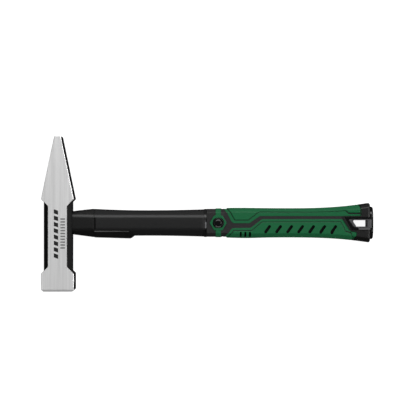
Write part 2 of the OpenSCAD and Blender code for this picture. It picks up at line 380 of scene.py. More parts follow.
def bar(name, stations, section):
    """A closed bar along the handle. A station is (x, height over the section's surface, scale)."""
    clear_selection()
    spans = len(stations) - 1
    bpy.ops.mesh.primitive_cylinder_add(
        vertices=len(RING), radius=1, depth=spans, end_fill_type="NGON",
        location=(spans / 2, 0, 0), rotation=(0, math.radians(90), 0),
    )
    obj = new_primitive(name)
    if spans > 1:
        choose(obj, "edges", lambda e: abs(e.verts[0].co.x - e.verts[1].co.x) > 0.5)
        bpy.ops.mesh.subdivide(number_cuts=spans - 1)
        done()
    step = 2 * math.pi / len(RING)
    for v in obj.data.vertices:
        x, h, scale = stations[round(v.co.x)]
        q, up, near = RING[round(math.atan2(v.co.y, v.co.z) / step) % len(RING)]
        top, bottom, side, flat_top, flat_bottom, corners = section(x)
        height, flat = (top, flat_top) if up > 0 else (bottom, flat_bottom)
        y, z, ny, nz = quarter_point(height, side, flat, corners, q)
        v.co = (x * MM, (y + ny * h) * scale * up * MM, (AXIS_Z + (z + nz * h) * scale * near) * MM)
    edit(obj)
    face_outwards()
    done()
    return obj


def evenly(start, end, step, h=0.0):
    count = max(1, round((end - start) / step))
    return [(start + (end - start) * i / count, h, 1) for i in range(count + 1)]


def rounded_start(x, radius, h=0.0, steps=3):
    """Stations that round a bar's first edge."""
    turns = [math.radians(90) * i / steps for i in range(steps)]
    return [(x + radius * (1 - math.cos(a)), h - radius * (1 - math.sin(a)), 1) for a in turns]


def rounded_end(x, radius, h=0.0, steps=3):
    return [(2 * x - s[0], s[1], s[2]) for s in reversed(rounded_start(x, radius, h, steps))]


def finish_piece(obj, material, node_names):
    if material:
        obj.data.materials.clear()
        obj.data.materials.append(material)
    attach(obj, "root")
    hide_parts(*node_names)


# --- Materials ---


class Recipe:
    """A Principled material and short ways to add to it."""

    def __init__(self, name, colour, roughness, **sockets):
        self.material = bpy.data.materials.new(name)
        self.material.use_nodes = True
        self.nodes = self.material.node_tree.nodes
        self.links = self.material.node_tree.links
        self.shader = self.nodes["Principled BSDF"]
        self.shader.inputs["Base Color"].default_value = (*colour, 1)
        self.shader.inputs["Roughness"].default_value = roughness
        for key, value in sockets.items():
            self.shader.inputs[key.replace("_", " ")].default_value = value
        self.place = self.nodes.new("ShaderNodeTexCoord").outputs["Object"]

    def along(self, axis):
        """The place on the piece along one axis, in millimetres."""
        split = self.nodes.new("ShaderNodeSeparateXYZ")
        self.links.new(self.place, split.inputs["Vector"])
        return self.math("DIVIDE", split.outputs[axis], MM)

    def noise(self, per_mm, detail=2.0, rough=0.5):
        """Noise with so many features in a millimetre, one number or three."""
        per_axis = per_mm if isinstance(per_mm, tuple) else (per_mm,) * 3
        mapping = self.nodes.new("ShaderNodeMapping")
        mapping.inputs["Scale"].default_value = [n / MM for n in per_axis]
        self.links.new(self.place, mapping.inputs["Vector"])
        noise = self.nodes.new("ShaderNodeTexNoise")
        noise.inputs["Scale"].default_value = 1.0
        noise.inputs["Detail"].default_value = detail
        noise.inputs["Roughness"].default_value = rough
        self.links.new(mapping.outputs["Vector"], noise.inputs["Vector"])
        return noise.outputs["Fac"]

    def math(self, operation, *values, clamp=False):
        node = self.nodes.new("ShaderNodeMath")
        node.operation = operation
        node.use_clamp = clamp
        for socket, value in zip(node.inputs, values):
            if isinstance(value, (int, float)):
                socket.default_value = value
            else:
                self.links.new(value, socket)
        return node.outputs[0]

    def spread(self, value, low, high, to_low, to_high):
        node = self.nodes.new("ShaderNodeMapRange")
        for key, number in zip(("From Min", "From Max", "To Min", "To Max"), (low, high, to_low, to_high)):
            node.inputs[key].default_value = number
        self.links.new(value, node.inputs["Value"])
        return node.outputs["Result"]

    def mix(self, factor, first, second):
        node = self.nodes.new("ShaderNodeMix")
        node.data_type = "RGBA"
        self.links.new(factor, node.inputs["Factor"])
        for socket, value in ((node.inputs["A"], first), (node.inputs["B"], second)):
            if isinstance(value, tuple):
                socket.default_value = (*value, 1)
            else:
                self.links.new(value, socket)
        return node.outputs["Result"]

    def feed(self, socket, value):
        self.links.new(value, self.shader.inputs[socket])

    def bump(self, height, distance_mm):
        node = self.nodes.new("ShaderNodeBump")
        node.inputs["Distance"].default_value = distance_mm * MM
        node.inputs["Strength"].default_value = 1.0
        self.links.new(height, node.inputs["Height"])
        self.feed("Normal", node.outputs["Normal"])


# Features in a millimetre: of streaks along X, Y and Z, and of grain in every direction.
STREAKS, BROAD_STREAKS, EDGE_STREAKS = (1.6, 0.02, 1.6), (0.3, 0.004, 0.3), (1.6, 0.05, 1.6)
THREADS = (0.05, 5, 5)
PAINT_GRAIN, SATIN_GRAIN, POLISH_GRAIN, GLOSS_GRAIN, RUBBER_GRAIN, RESIN_GRAIN = 1.2, 9, 3, 0.5, 4.2, 0.6

# The part of a noise's range that is spread over a whole effect.
STREAK_RANGE, GRAIN_RANGE = (0.35, 0.65), (0.3, 0.7)

# Print: left and right end, lower and upper end, pitch, filled share, slant.
WIDE_ROW = (-2.5, 0.5, -25.0, 10.2, 4.4, 0.66, 0.35)
FINE_ROW = (2.1, 5.3, -18.0, 4.2, 2.02, 0.5, 0.0)
FINE_INK, PRINT_DEPTH = 0.75, 0.3
# The liner's painted light: heights over the axis where it fades out, and how much paler it is deep inside
# the hole.
LINER_LIGHT_FADE, LINER_PAINTED_LIGHT = (7.5, 9.5), 5.0
# The print's ink, and a near-black that is painted shade on the walls and floors of cut slots, gaps, grooves,
# notches and seats.
INK, PAINTED_SHADE_COLOUR = (0.02, 0.02, 0.02), (0.002, 0.002, 0.002)


def scaled(colour, factor):
    return tuple(c * factor for c in colour)


def brushed_steel(colours):
    steel = tuple(colours.steel)
    r = Recipe("brushed_steel", steel, 0.42, Metallic=0.5)
    streaks = r.noise(STREAKS, 3)
    broad = r.noise(BROAD_STREAKS, 2)
    both = r.math("ADD", r.math("MULTIPLY", streaks, 0.6), r.math("MULTIPLY", broad, 0.4))
    tone = r.spread(both, *STREAK_RANGE, 0.0, 1.0)
    ground = r.mix(tone, scaled(steel, 0.92), scaled(steel, 1.05))
    r.feed("Base Color", r.mix(printed_bars(r), ground, INK))
    r.feed("Roughness", r.spread(both, *STREAK_RANGE, 0.36, 0.48))
    r.bump(streaks, 0.012)
    return r.material


# A brighter steel for the edge bevels that face right only: a painted highlight along those edges.
def ground_edge(colours):
    r = Recipe("ground_edge", scaled(tuple(colours.steel), 1.1), 0.27, Metallic=0.8)
    r.feed("Roughness", r.spread(r.noise(EDGE_STREAKS, 3), *GRAIN_RANGE, 0.22, 0.32))
    return r.material


def printed_bars(r):
    """Ink on the upper cheek: a stack of plain slanted bars, and a thin row of short dashes beside it."""
    x, y, z = (r.along(axis) for axis in "XYZ")
    upper = r.math("GREATER_THAN", z, 2 * AXIS_Z - PRINT_DEPTH)

    def within(value, low, high):
        return r.math("MULTIPLY", r.math("GREATER_THAN", value, low), r.math("LESS_THAN", value, high))

    def row(x_low, x_high, y_low, y_high, pitch, filled, slant):
        leaning = r.math("ADD", y, r.math("MULTIPLY", x, slant))
        beat = r.math("FRACT", r.math("DIVIDE", r.math("SUBTRACT", leaning, y_low), pitch))
        bars = r.math("LESS_THAN", beat, filled)
        field = r.math("MULTIPLY", within(x, x_low, x_high), within(leaning, y_low, y_high))
        return r.math("MULTIPLY", bars, field)

    ink = r.math("ADD", row(*WIDE_ROW), r.math("MULTIPLY", row(*FINE_ROW), FINE_INK), clamp=True)
    return r.math("MULTIPLY", ink, upper)


def black_paint(colours):
    r = Recipe("black_paint", tuple(colours.paint), 0.34, Specular_IOR_Level=0.2)
    r.bump(r.noise(PAINT_GRAIN, 2), 0.02)
    return r.material


def satin_plastic(colours):
    r = Recipe("satin_plastic", tuple(colours.plastic), 0.42, Specular_IOR_Level=0.4)
    grain = r.noise(SATIN_GRAIN, 2)
    r.feed("Roughness", r.spread(grain, *GRAIN_RANGE, 0.38, 0.47))
    r.bump(grain, 0.006)
    return r.material


def polished_rubber(colours):
    r = Recipe("polished_rubber", tuple(colours.plastic), 0.34, Specular_IOR_Level=0.5)
    r.bump(r.noise(POLISH_GRAIN, 2), 0.008)
    return r.material


def glossy_plastic(colours):
    r = Recipe("glossy_plastic", tuple(colours.gloss), 0.14, Specular_IOR_Level=0.5)
    r.bump(r.noise(GLOSS_GRAIN, 1), 0.01)
    return r.material


def soft_rubber(name, colour, roughness, grain_height, specular=0.3):
    r = Recipe(name, colour, roughness, Specular_IOR_Level=specular)
    grain = r.noise(RUBBER_GRAIN, 3, 0.6)
    tone = r.spread(grain, *GRAIN_RANGE, 0.0, 1.0)
    r.feed("Base Color", r.mix(tone, scaled(colour, 0.88), scaled(colour, 1.12)))
    r.feed("Roughness", r.spread(grain, *GRAIN_RANGE, roughness - 0.06, roughness + 0.06))
    r.bump(grain, grain_height)
    return r.material


def liner_plastic(colours):
    """Grey plastic with painted light: paler deep inside the hanging hole, where its walls would otherwise
    lie in shade.
    """
    colour = tuple(colours.liner)
    r = Recipe("liner_plastic", colour, 0.5, Specular_IOR_Level=0.3)
    height = r.math("ABSOLUTE", r.math("SUBTRACT", r.along("Z"), AXIS_Z))
    skin = r.spread(height, *LINER_LIGHT_FADE, 0.0, 1.0)
    r.feed("Base Color", r.mix(skin, scaled(colour, LINER_PAINTED_LIGHT), colour))
    r.bump(r.noise(RUBBER_GRAIN, 3, 0.6), 0.03)
    return r.material


def glass_fibre(colours):
    fibre = tuple(colours.fibre)
    r = Recipe("glass_fibre", fibre, 0.4)
    threads = r.noise(THREADS, 2)
    r.feed("Base Color", r.mix(threads, scaled(fibre, 0.6), scaled(fibre, 1.25)))
    r.bump(threads, 0.01)
    return r.material


def poured_resin(colours):
    r = Recipe("poured_resin", tuple(colours.resin), 0.22)
    r.bump(r.noise(RESIN_GRAIN, 2), 0.03)
    return r.material


# --- Settings ---


def colour_property(name, description, default):
    return bpy.props.FloatVectorProperty(
        name=name, description=description, default=default, subtype="COLOR", size=3, min=0, max=1
    )


def length_property(name, description, default_mm):
    return bpy.props.FloatProperty(
        name=name, description=description, default=default_mm * MM, unit="LENGTH", min=0
    )


class HammerColours(bpy.types.PropertyGroup):
    steel: colour_property("Steel", "The ground and brushed cheeks", (0.76, 0.76, 0.76))
    paint: colour_property("Paint", "The head's black paint", (0.003, 0.003, 0.003))
    plastic: colour_property("Neck", "The neck's satin plastic", (0.007, 0.007, 0.0072))
    gloss: colour_property("Gloss", "The polished black plastic", (0.004, 0.004, 0.0042))
    rubber: colour_property("Black rubber", "The grip's black base", (0.011, 0.011, 0.011))
    guard: colour_property("Guard rubber", "The collar and the overstrike guard", (0.004, 0.004, 0.004))
    green: colour_property("Green rubber", "The grip's pads and band", (0.005, 0.084, 0.029))
    liner: colour_property("Liner", "The hanging eye's liner", (0.05, 0.05, 0.052))
    fibre: colour_property("Glass fibre", "The core rod", (0.50, 0.40, 0.12))
    resin: colour_property("Resin", "The cast resin in the eye", (0.05, 0.04, 0.025))
    floor: colour_property("Floor", "The studio's floor", (0.9, 0.9, 0.9))


class HammerSizes(bpy.types.PropertyGroup):
    head_edge: length_property("Head edge", "Bevel between the cheeks and the upright sides", 0.36)
    relief_edge: length_property("Relief edge", "Rounding of the head's other edges", 0.14)
    face_bevel: length_property("Face bevel", "Width of the bevel round the striking face", 2.0)
    pad_rim: length_property("Pad rim", "Rounding of the pads' rims", 0.55)
    panel_step: length_property("Panel step", "How far the panels stand over their borders", 0.6)
    guard_edge: length_property("Guard edge", "Rounding of the overstrike guard's edges", 0.3)
    hexagon_edge: length_property("Hexagon edge", "Rounding of the band's hexagon", 0.25)


def colours():
    return bpy.context.scene.hammer_colours


def size_mm(name):
    return getattr(bpy.context.scene.hammer_sizes, name) / MM


def shared(maker, *args):
    """A maker's material, made once. No name is one of the CAD's own materials."""
    name = args[0] if args and isinstance(args[0], str) else maker.__name__
    return bpy.data.materials.get(name) or maker(*(args or (colours(),)))


def black_rubber():
    return shared(soft_rubber, "base_rubber", tuple(colours().rubber), 0.55, 0.03, 0.3)


def guard_rubber():
    return shared(soft_rubber, "guard_rubber", tuple(colours().guard), 0.42, 0.02, 0.45)


# Near-black rubber that is painted shade, for the walls and floors of recesses.
def slot_black():
    return shared(soft_rubber, "slot_black", PAINTED_SHADE_COLOUR, 0.7, 0.01, 0.1)


# A pale grey for the ring's pill, partly its own colour and partly a painted highlight along it.
def grey_plastic():
    return shared(soft_rubber, "pill_plastic", scaled(tuple(colours().liner), 2.4), 0.5, 0.03)


def green_rubber():
    return shared(soft_rubber, "pad_rubber", tuple(colours().green), 0.5, 0.012, 0.2)


# --- Pieces ---


def mirrored_outline(half, axis):
    """A half outline that starts and ends on the line y = axis, and its mirror image beyond that line."""
    return half + [(x, 2 * axis - y) for x, y in reversed(half) if abs(y - axis) > 1e-6]


UPPER_BORDER = [
    (115.6, CREST), (116.4, 11.2), (121.5, 1.4), (122.5, 0.2), (123.8, -0.3), (134.4, -0.3), (141.8, 4.7),
    (211.9, 4.7), (212.6, 5.1), (212.9, 6.0), (212.7, 8.6), (211.5, 11.4), (210.9, CREST),
]
UPPER_PANEL = [
    (118.5, CREST), (119.1, 11.2), (124.2, 2.1), (133.6, 2.1), (141.6, 8.3), (170, 8.2), (202.0, 7.3),
    (203.8, 6.1), (212.0, 5.9), (212.1, 8.5), (210.9, 11.4), (210.3, CREST),
]
LOWER_BORDER = [
    (115.8, -CREST), (116.4, -12.2), (117.6, -10.4), (121.7, -4.2), (123.0, -3.6), (135.3, -3.4),
    (143.4, 2.7), (199.4, 2.7), (200.1, 2.3), (204.7, -5.0), (205.8, -5.5), (209.0, -5.6), (209.7, -5.9),
    (209.7, -6.6), (207.9, -9.5), (206.9, -13.0), (206.6, -CREST),
]
LOWER_PANEL = [
    (118.3, -CREST), (118.9, -12.2), (119.9, -10.6), (123.4, -5.5), (136.1, -5.6), (143.3, 0.5), (198.4, 0.6),
    (201.7, -5.7), (205.6, -6.2), (206.9, -9.3), (205.9, -13.0), (205.6, -CREST),
]
PADS = (("upper_pad", UPPER_BORDER, UPPER_PANEL, 1), ("lower_pad", LOWER_BORDER, LOWER_PANEL, -1))
UPRIGHT = 90

# The rows of slots: how many, the first one's x, pitch, y, length, width and angle.
SLOT_ROWS = ((7, 147.2, 7.73, -4.4, 6.65, 2.0, 54), (3, 128.4, 3.2, -8.2, 4.4, 1.4, UPRIGHT))

PANEL_GAP, GAP_FLOOR, PAD_ROOT = 0.4, -1.0, 0.3
SLOT_FLOOR = -1.35
SHEET_CUTS_X = [116 + 2.5 * i for i in range(40)]
BUTT_CUTS_X = [198 + 2 * i for i in range(9)]

# The base: how deep its front lies, where that front ends and how fast it drops to under the pads.
FRONT_SINK, FRONT_LEVEL, FRONT_END, FRONT_DROP = 0.5, 6, 114.8, 0.9
PALM_START, BASE_END = FRONT_END + 2.4, 201
BUTT_START, BUTT_END = 200, 216
LIP_ROUNDING = ((1.3, 0), (0.8, -0.12), (0.35, -0.55), (0, -1.3))
DOME_ROOT, DOME_PLAY = 1.4, 0.02


def grown(outline, width):
    """An outline whose every side is moved outwards by a width."""
    count = len(outline)
    area = sum(outline[i - 1][0] * outline[i][1] - outline[i][0] * outline[i - 1][1] for i in range(count))
    way = math.copysign(width, area)
    points = []
    for i in range(count):
        before, here, after = (Vector(outline[(i + k) % count]) for k in (-1, 0, 1))
        first, second = (here - before).normalized(), (after - here).normalized()
        outward = Vector((first.y + second.y, -first.x - second.x)).normalized()
        lean = max(outward.dot(Vector((first.y, -first.x))), 0.5)
        points.append(tuple(here + outward * way / lean))
    return points


def blacken(cutter, outer):
    """Gives a cutter two materials, so that whatever it cuts is painted near-black as shade."""
    give(cutter, outer, slot_black())
    for face in cutter.data.polygons:
        face.material_index = 1
    return cutter


def stadium(x, y, length, width, angle_deg, steps=6):
    """The outline of a slot with round ends."""
    a = math.radians(angle_deg)
    points = []
    for end in (1, -1):
        cx = x + end * (length - width) / 2 * math.cos(a)
        cy = y + end * (length - width) / 2 * math.sin(a)
        for i in range(steps + 1):
            t = a + (-90 + 180 * i / steps) * math.pi / 180 + (0 if end > 0 else math.pi)
            points.append((cx + width / 2 * math.cos(t), cy + width / 2 * math.sin(t)))
    return points


def slot_cutter(low=-3, high=2):
    """The slots' shapes, whose cut walls and floors are painted near-black as shade, darker than the black
    base under them.
    """
    cutters = []
    for far in (False, True):
        for count, first_x, pitch, y, length, width, angle in SLOT_ROWS:
            if far:
                y, angle = -2 * CREST - y, angle if angle == UPRIGHT else -angle
            for i in range(count):
                outline = stadium(first_x + i * pitch, y, length, width, angle)
                cutters.append(outline_plate("slot", outline, low, high))
    return blacken(join(*cutters), black_rubber())


def bend_round_handle(obj, x_cuts, v_cuts):
    """Cuts the flat sheet where it has to bend, then lays it round the grip."""
    edit(obj)
    for x in x_cuts:
        slice_at((x, 0, 0), (1, 0, 0))
    for v in v_cuts:
        slice_at((0, v, 0), (0, 1, 0))
    weld()
    bpy.ops.mesh.quads_convert_to_tris(quad_method="BEAUTY", ngon_method="BEAUTY")
    done()
    for v in obj.data.vertices:
        v.co = sheet_point(v.co.x / MM, v.co.y / MM, v.co.z / MM)
    edit(obj)
    face_outwards()
    done()


def sheet_cuts(sign):
    near = [TRUE_HEIGHT] + [
        PALM_ENDS[k] + PALM_STRETCHES[k + 1] * f for k in (0, 2) for f in (0, 0.25, 0.5, 0.75, 1)
    ]
    return [sign * v for v in near] + [sign * CREST] + [sign * (2 * CREST - v) for v in near]


def make_pads():
    """The pads: a low border and a raised panel each, with a narrow gap between them whose cut walls are
    painted black as shade.
    """
    for node, border, panel, side in PADS:
        outline = mirrored_outline(panel, side * CREST)
        rim = mirrored_outline(border, side * CREST)
        pad = outline_plate(node + "_skin", rim, -PAD_DEPTH - PAD_ROOT, -size_mm("panel_step"))
        raised = outline_plate(node + "_skin_panel", outline, -PAD_DEPTH, 0)
        for plate in (pad, raised):
            round_edges(plate, size_mm("pad_rim"), 2, RIM)
            give(plate, green_rubber(), slot_black())
            if node == "lower_pad":
                cut(plate, slot_cutter())
        gap = outline_plate(node + "_skin_gap", grown(outline, PANEL_GAP), GAP_FLOOR, 1)
        cut(pad, blacken(gap, green_rubber()))
        join(pad, raised)
        bend_round_handle(pad, SHEET_CUTS_X, sheet_cuts(side))
        smooth(pad, FACET)
        finish_piece(pad, None, [node])


def make_grip_base():
    """The black base with the slots' pockets, whose cut walls are painted near-black as shade, and the butt
    round the strap and the dome.
    """
    front = [(x, -FRONT_SINK, 1) for x in (BASE_START, BASE_START + FRONT_LEVEL, FRONT_END)]
    front.append((FRONT_END + FRONT_DROP, -PAD_DEPTH, 1))
    base = bar("grip_base_skin", front + evenly(PALM_START, BASE_END, 2.5, -PAD_DEPTH), grip_section)
    give(base, black_rubber(), slot_black())
    pockets = slot_cutter(SLOT_FLOOR, -FRONT_SINK)
    bend_round_handle(pockets, [], sheet_cuts(-1))
    cut(base, pockets)
    lip = [(LIP_X - back, height, 1) for back, height in LIP_ROUNDING]
    butt = bar("butt", evenly(BUTT_START, BUTT_END, 2, 0) + lip, grip_section)
    give(butt, guard_rubber())
    for _, border, _, side in PADS:
        cutter = outline_plate("pad_room", mirrored_outline(border, side * CREST), -PAD_DEPTH, 2)
        edit(cutter)
        for x in BUTT_CUTS_X:
            first = x == BUTT_CUTS_X[0]
            slice_at((x, 0, 0), (1, 0, 0), clear_inner=first, use_fill=first)
        done()
        bend_round_handle(cutter, [], sheet_cuts(side))
        cut(butt, cutter)
    cut(butt, through_plate("strap_room", STRAP_OUTLINE))
    room = [(LIP_X - DOME_ROOT, DOME_PLAY, 1), (LIP_X + 1, DOME_PLAY, 1)]
    cut(butt, bar("dome_room", room, dome_section))
    join(base, butt)
    smooth(base)
    finish_piece(base, None, ["grip_base"])


STRAP_OUTLINE = [(201.1, 4.1), (BUTT_X + 1, 4.1), (BUTT_X + 1, -5.2), (206.1, -5.2)]
LINER_OUTLINE = [(203.9, 2.7), (220.2, 2.7), (220.2, -3.5), (208, -3.5)]
HOLE_OUTLINE = [(206.6, 1.9), (217.2, 1.9), (217.2, -2.7), (209.7, -2.7)]
STRAP_START, STRAP_TAPER, STRAP_BEVEL = 199, 0.95, 1.1
LINER_START, LINER_SINK, HOLE_BEVEL = 203, 0.5, 0.9
SKIN_LAYER = 0.8

# Along the dome: the share of its depth, and its width there.
DOME_PROFILE = (
    (0, 1), (0.5, 0.995), (0.68, 0.98), (0.82, 0.945), (0.91, 0.88), (0.97, 0.72), (0.99, 0.5), (1, 0.15),
)


def strap_section(x):
    if x <= LIP_X:
        return grip_section(x)
    top, bottom, side, flat_top, flat_bottom, corners = grip_section(LIP_X)
    drop = share(x, LIP_X, STRAP_X)
    return top, bottom, side - STRAP_TAPER * drop, flat_top, flat_bottom, corners


def on_skin(point):
    """Whether a point lies on the flat upper or lower side of the strap."""
    side = strap_section(point.x / MM)[2]
    return abs(abs(point.z / MM - AXIS_Z) - side) < SKIN_LAYER


def strap_rim(edge):
    """The long edges beside the lower bar's upper side, which catch the light."""
    return all(abs(v.co.y / MM - LINER_OUTLINE[2][1]) < 0.01 and on_skin(v.co) for v in edge.verts)


def hole_slope(edge):
    """The slanted edges at the near end of the hanging hole."""
    (x0, y0), (x1, y1) = HOLE_OUTLINE[0], HOLE_OUTLINE[3]
    return all(
        abs((v.co.x / MM - x0) * (y1 - y0) - (v.co.y / MM - y0) * (x1 - x0)) < 0.05 and on_skin(v.co)
        for v in edge.verts
    )


def make_end_plug():
    strap = bar("end_plug_skin", evenly(STRAP_START, LIP_X, 4) + [(STRAP_X, 0, 1)], strap_section)
    combine(strap, through_plate("strap_shape", STRAP_OUTLINE), "INTERSECT")
    cut(strap, through_plate("liner_room", LINER_OUTLINE))
    bevel_edges(strap, strap_rim, STRAP_BEVEL, 2)
    depth = BUTT_X - LIP_X
    stations = [(LIP_X - DOME_ROOT, 0, 1)] + [(LIP_X + depth * d, 0, k) for d, k in DOME_PROFILE]
    dome = bar("dome", stations, dome_section)
    smooth(dome, RIM)
    smooth(strap, FACET)
    join(strap, dome)
    finish_piece(strap, shared(glossy_plastic), ["end_plug"])


def make_eye_liner():
    run = [(STRAP_START, -LINER_SINK, 1)] + evenly(LINER_START, LIP_X, 4, -LINER_SINK)
    liner = bar("eye_liner_skin", run + [(STRAP_X, -LINER_SINK, 1)], strap_section)
    combine(liner, through_plate("liner_shape", LINER_OUTLINE), "INTERSECT")
    cut(liner, through_plate("hole", HOLE_OUTLINE))
    bevel_edges(liner, hole_slope, HOLE_BEVEL, 1)
    smooth(liner)
    finish_piece(liner, shared(liner_plastic), ["eye_liner"])


BAND_WIDTH, BAND_ROUNDING, BAND_SINK, BAND_ROOT = 3.8, 0.25, 0.2, 0.4
HEXAGON_APOTHEM, HEXAGON_RISE, HEXAGON_ROOT = 5.2, 0.05, 0.5
SEAT_RADIUS, SEAT_DEPTH = 3.95, 0.55


def cylinder(name, vertices, radius, depth, z, turn=0.0):
    """An upright cylinder on the band's middle, in millimetres."""
    clear_selection()
    bpy.ops.mesh.primitive_cylinder_add(
        vertices=vertices, radius=radius * MM, depth=depth * MM,
        location=(BAND_X * MM, 0, z * MM), rotation=(0, 0, turn),
    )
    return new_primitive(name)


def make_band():
    """The band round the grip, and a hexagon with a round seat on each side, whose cut floor and wall are
    painted black as shade.
    """
    first, last = BAND_X - BAND_WIDTH / 2, BAND_X + BAND_WIDTH / 2
    root = -PAD_DEPTH - BAND_ROOT
    rounded = rounded_start(first, BAND_ROUNDING, -BAND_SINK) + rounded_end(last, BAND_ROUNDING, -BAND_SINK)
    band = bar("hexagon_band_skin", [(first, root, 1)] + rounded + [(last, root, 1)], grip_section)
    give(band, green_rubber(), slot_black())
    top = AXIS_Z + PALM_HALF_WIDTH + HEXAGON_RISE
    bottom = AXIS_Z + PALM_HALF_WIDTH - PAD_DEPTH - HEXAGON_ROOT
    turn = math.radians(30)
    for far in (False, True):
        radius = HEXAGON_APOTHEM / math.cos(turn)
        hexagon = cylinder("hexagon", 6, radius, top - bottom, (top + bottom) / 2, turn)
        give(hexagon, green_rubber(), slot_black())
        cut(hexagon, blacken(cylinder("seat", 64, SEAT_RADIUS, 2, top + 1 - SEAT_DEPTH), green_rubber()))
        round_edges(hexagon, size_mm("hexagon_edge"), 2, SOFT)
        if far:
            mirror_low(hexagon)
        smooth(hexagon)
        join(band, hexagon)
    smooth(band)
    finish_piece(band, None, ["hexagon_band"])


def mirror_low(obj):
    """Moves a piece of the upper side to the lower side."""
    edit_all(obj)
    bpy.ops.transform.mirror(constraint_axis=(False, False, True), center_override=(0, 0, AXIS_Z * MM))
    face_outwards()
    done()


# How far each ring of a medallion goes in, and how far it rises: a rim, a shallow groove and a low dome.
MEDALLION_RINGS = (
    (0.15, 0), (0.35, 0), (0.45, -0.22), (0.12, 0), (0.45, 0.22), (0.5, 0.08), (0.6, 0.05), (0.5, 0.02),
)
MEDALLION_RADIUS, MEDALLION_THICKNESS, MEDALLION_RISE, MEDALLION_EDGE = 3.5, 1.6, 0.15, 0.12


def make_medallions():
    top = AXIS_Z + PALM_HALF_WIDTH + MEDALLION_RISE
    middle = Vector((BAND_X * MM, 0))

    def on_rim(edge):
        within = (MEDALLION_RADIUS - 0.05) * MM
        return all(abs(v.co.z - top * MM) < 1e-6 and (v.co.xy - middle).length > within for v in edge.verts)

    for name, far in (("front_medallion", False), ("back_medallion", True)):
        centre = top - MEDALLION_THICKNESS / 2
        disc = cylinder(name + "_skin", 96, MEDALLION_RADIUS, MEDALLION_THICKNESS, centre)
        choose(disc, "faces", lambda f: f.normal.z > 0.9)
        for inset, lift in MEDALLION_RINGS:
            bpy.ops.mesh.inset(thickness=inset * MM, depth=lift * MM)
        done()
        bevel_edges(disc, on_rim, MEDALLION_EDGE, 2)
        if far:
            mirror_low(disc)
        smooth(disc)
        finish_piece(disc, shared(glossy_plastic), [name])


# The groove behind the collar: how far it reaches before and past the collar's end, and its size. Its cut
# walls are painted black as the shadow at the collar's end.
GROOVE_BEFORE, GROOVE_PAST, GROOVE_DEPTH = 0.3, 0.95, 0.7
GROOVE_HIGH, GROOVE_LOW = 3.8, -4.4


def make_neck():
    run = evenly(COLLAR_END - 2, RING_START, 2.5) + [(BASE_START + 1, -0.9, 1)]
    neck = bar("neck_jacket_skin", run, neck_section)
    give(neck, shared(satin_plastic), slot_black())
    side = neck_section(COLLAR_END)[2]
    first, last = COLLAR_END - GROOVE_BEFORE, COLLAR_END + GROOVE_PAST
    gap = [(first, GROOVE_HIGH), (last, GROOVE_HIGH), (last, GROOVE_LOW), (first, GROOVE_LOW)]
    for sign in (1, -1):
        low, high = sorted((AXIS_Z + sign * (side - GROOVE_DEPTH), AXIS_Z + sign * (side + 1)))
        cut(neck, blacken(outline_plate("groove", gap, low, high), slot_black()))
    smooth(neck)
    finish_piece(neck, None, ["neck_jacket"])


RING_ROUNDING = 0.35
NOTCH_Y, NOTCH_LENGTH, NOTCH_WIDTH, NOTCH_DEPTH = -1.4, 8.8, 1.9, 1.3
PILL_SHIFT, PILL_Y, PILL_LENGTH, PILL_WIDTH = 0.3, -1.6, 4.7, 1.2
PILL_ROOT, PILL_RISE, PILL_ROUNDING = 1.6, 0.15, 0.4


def make_stop_ring():
    """The ring, with a notch and a small pill in it on both sides: the notch's cut walls are painted black as
    shade, and the pill's pale grey is partly a painted highlight.
    """
    rounded = rounded_start(RING_START, RING_ROUNDING, RING_ROUNDING)
    rounded += rounded_end(BASE_START, RING_ROUNDING, RING_ROUNDING)
    stations = [(RING_START, -1, 1)] + rounded + [(BASE_START, -1, 1)]
    ring = bar("stop_ring_skin", stations, lambda x: neck_section(RING_START))
    give(ring, shared(polished_rubber), slot_black())
    side = neck_section(RING_START)[2]
    middle = (RING_START + BASE_START) / 2
    pills = []
    for sign in (1, -1):
        z = AXIS_Z + sign * side
        low, high = sorted((z - sign * NOTCH_DEPTH, z + sign * 1.5))
        shape = stadium(middle, NOTCH_Y, NOTCH_LENGTH, NOTCH_WIDTH, UPRIGHT)
        notch = outline_plate("notch", shape, low, high)
        cut(ring, blacken(notch, shared(polished_rubber)))
        low, high = sorted((z - sign * PILL_ROOT, z + sign * PILL_RISE))
        shape = stadium(middle + PILL_SHIFT, PILL_Y, PILL_LENGTH, PILL_WIDTH, UPRIGHT)
        pill = outline_plate("pill", shape, low, high)
        round_edges(pill, PILL_ROUNDING, 3, RIM)
        smooth(pill, RIM)
        give(pill, grey_plastic())
        pills.append(pill)
    smooth(ring)
    join(ring, *pills)
    finish_piece(ring, None, ["stop_ring"])


COLLAR_ROUNDING, COLLAR_ROOT = 0.6, 1.6


def make_collar():
    stations = [(COLLAR_START, 0, 1)] + evenly(COLLAR_START + 1, COLLAR_END - 2 * COLLAR_ROUNDING, 2)
    stations += rounded_end(COLLAR_END, COLLAR_ROUNDING) + [(COLLAR_END, -COLLAR_ROOT, 1)]
    collar = bar("shock_collar_skin", stations, collar_section)
    smooth(collar)
    finish_piece(collar, guard_rubber(), ["shock_collar"])
    finish_piece(make_guard(), guard_rubber(), ["overstrike_guard"])


# The guard's ledge and how far it slants from level.
LEDGE_HEIGHT, LEDGE_TILT = 0.9, math.radians(30)

# The guard's layers: name, height over its section, and how far each stops before the nose.
GUARD_LAYERS = (("overstrike_guard_skin", 0.15, 2.6), ("low_layer", -0.3, 0.0))
GUARD_TUCK, GUARD_FLOOR = 0.6, -16
NOSE_DROP, NOSE_LEAN, NOSE_LENGTH, NOSE_SLOPE = 3.2, 0.7, 4.7, 1.3


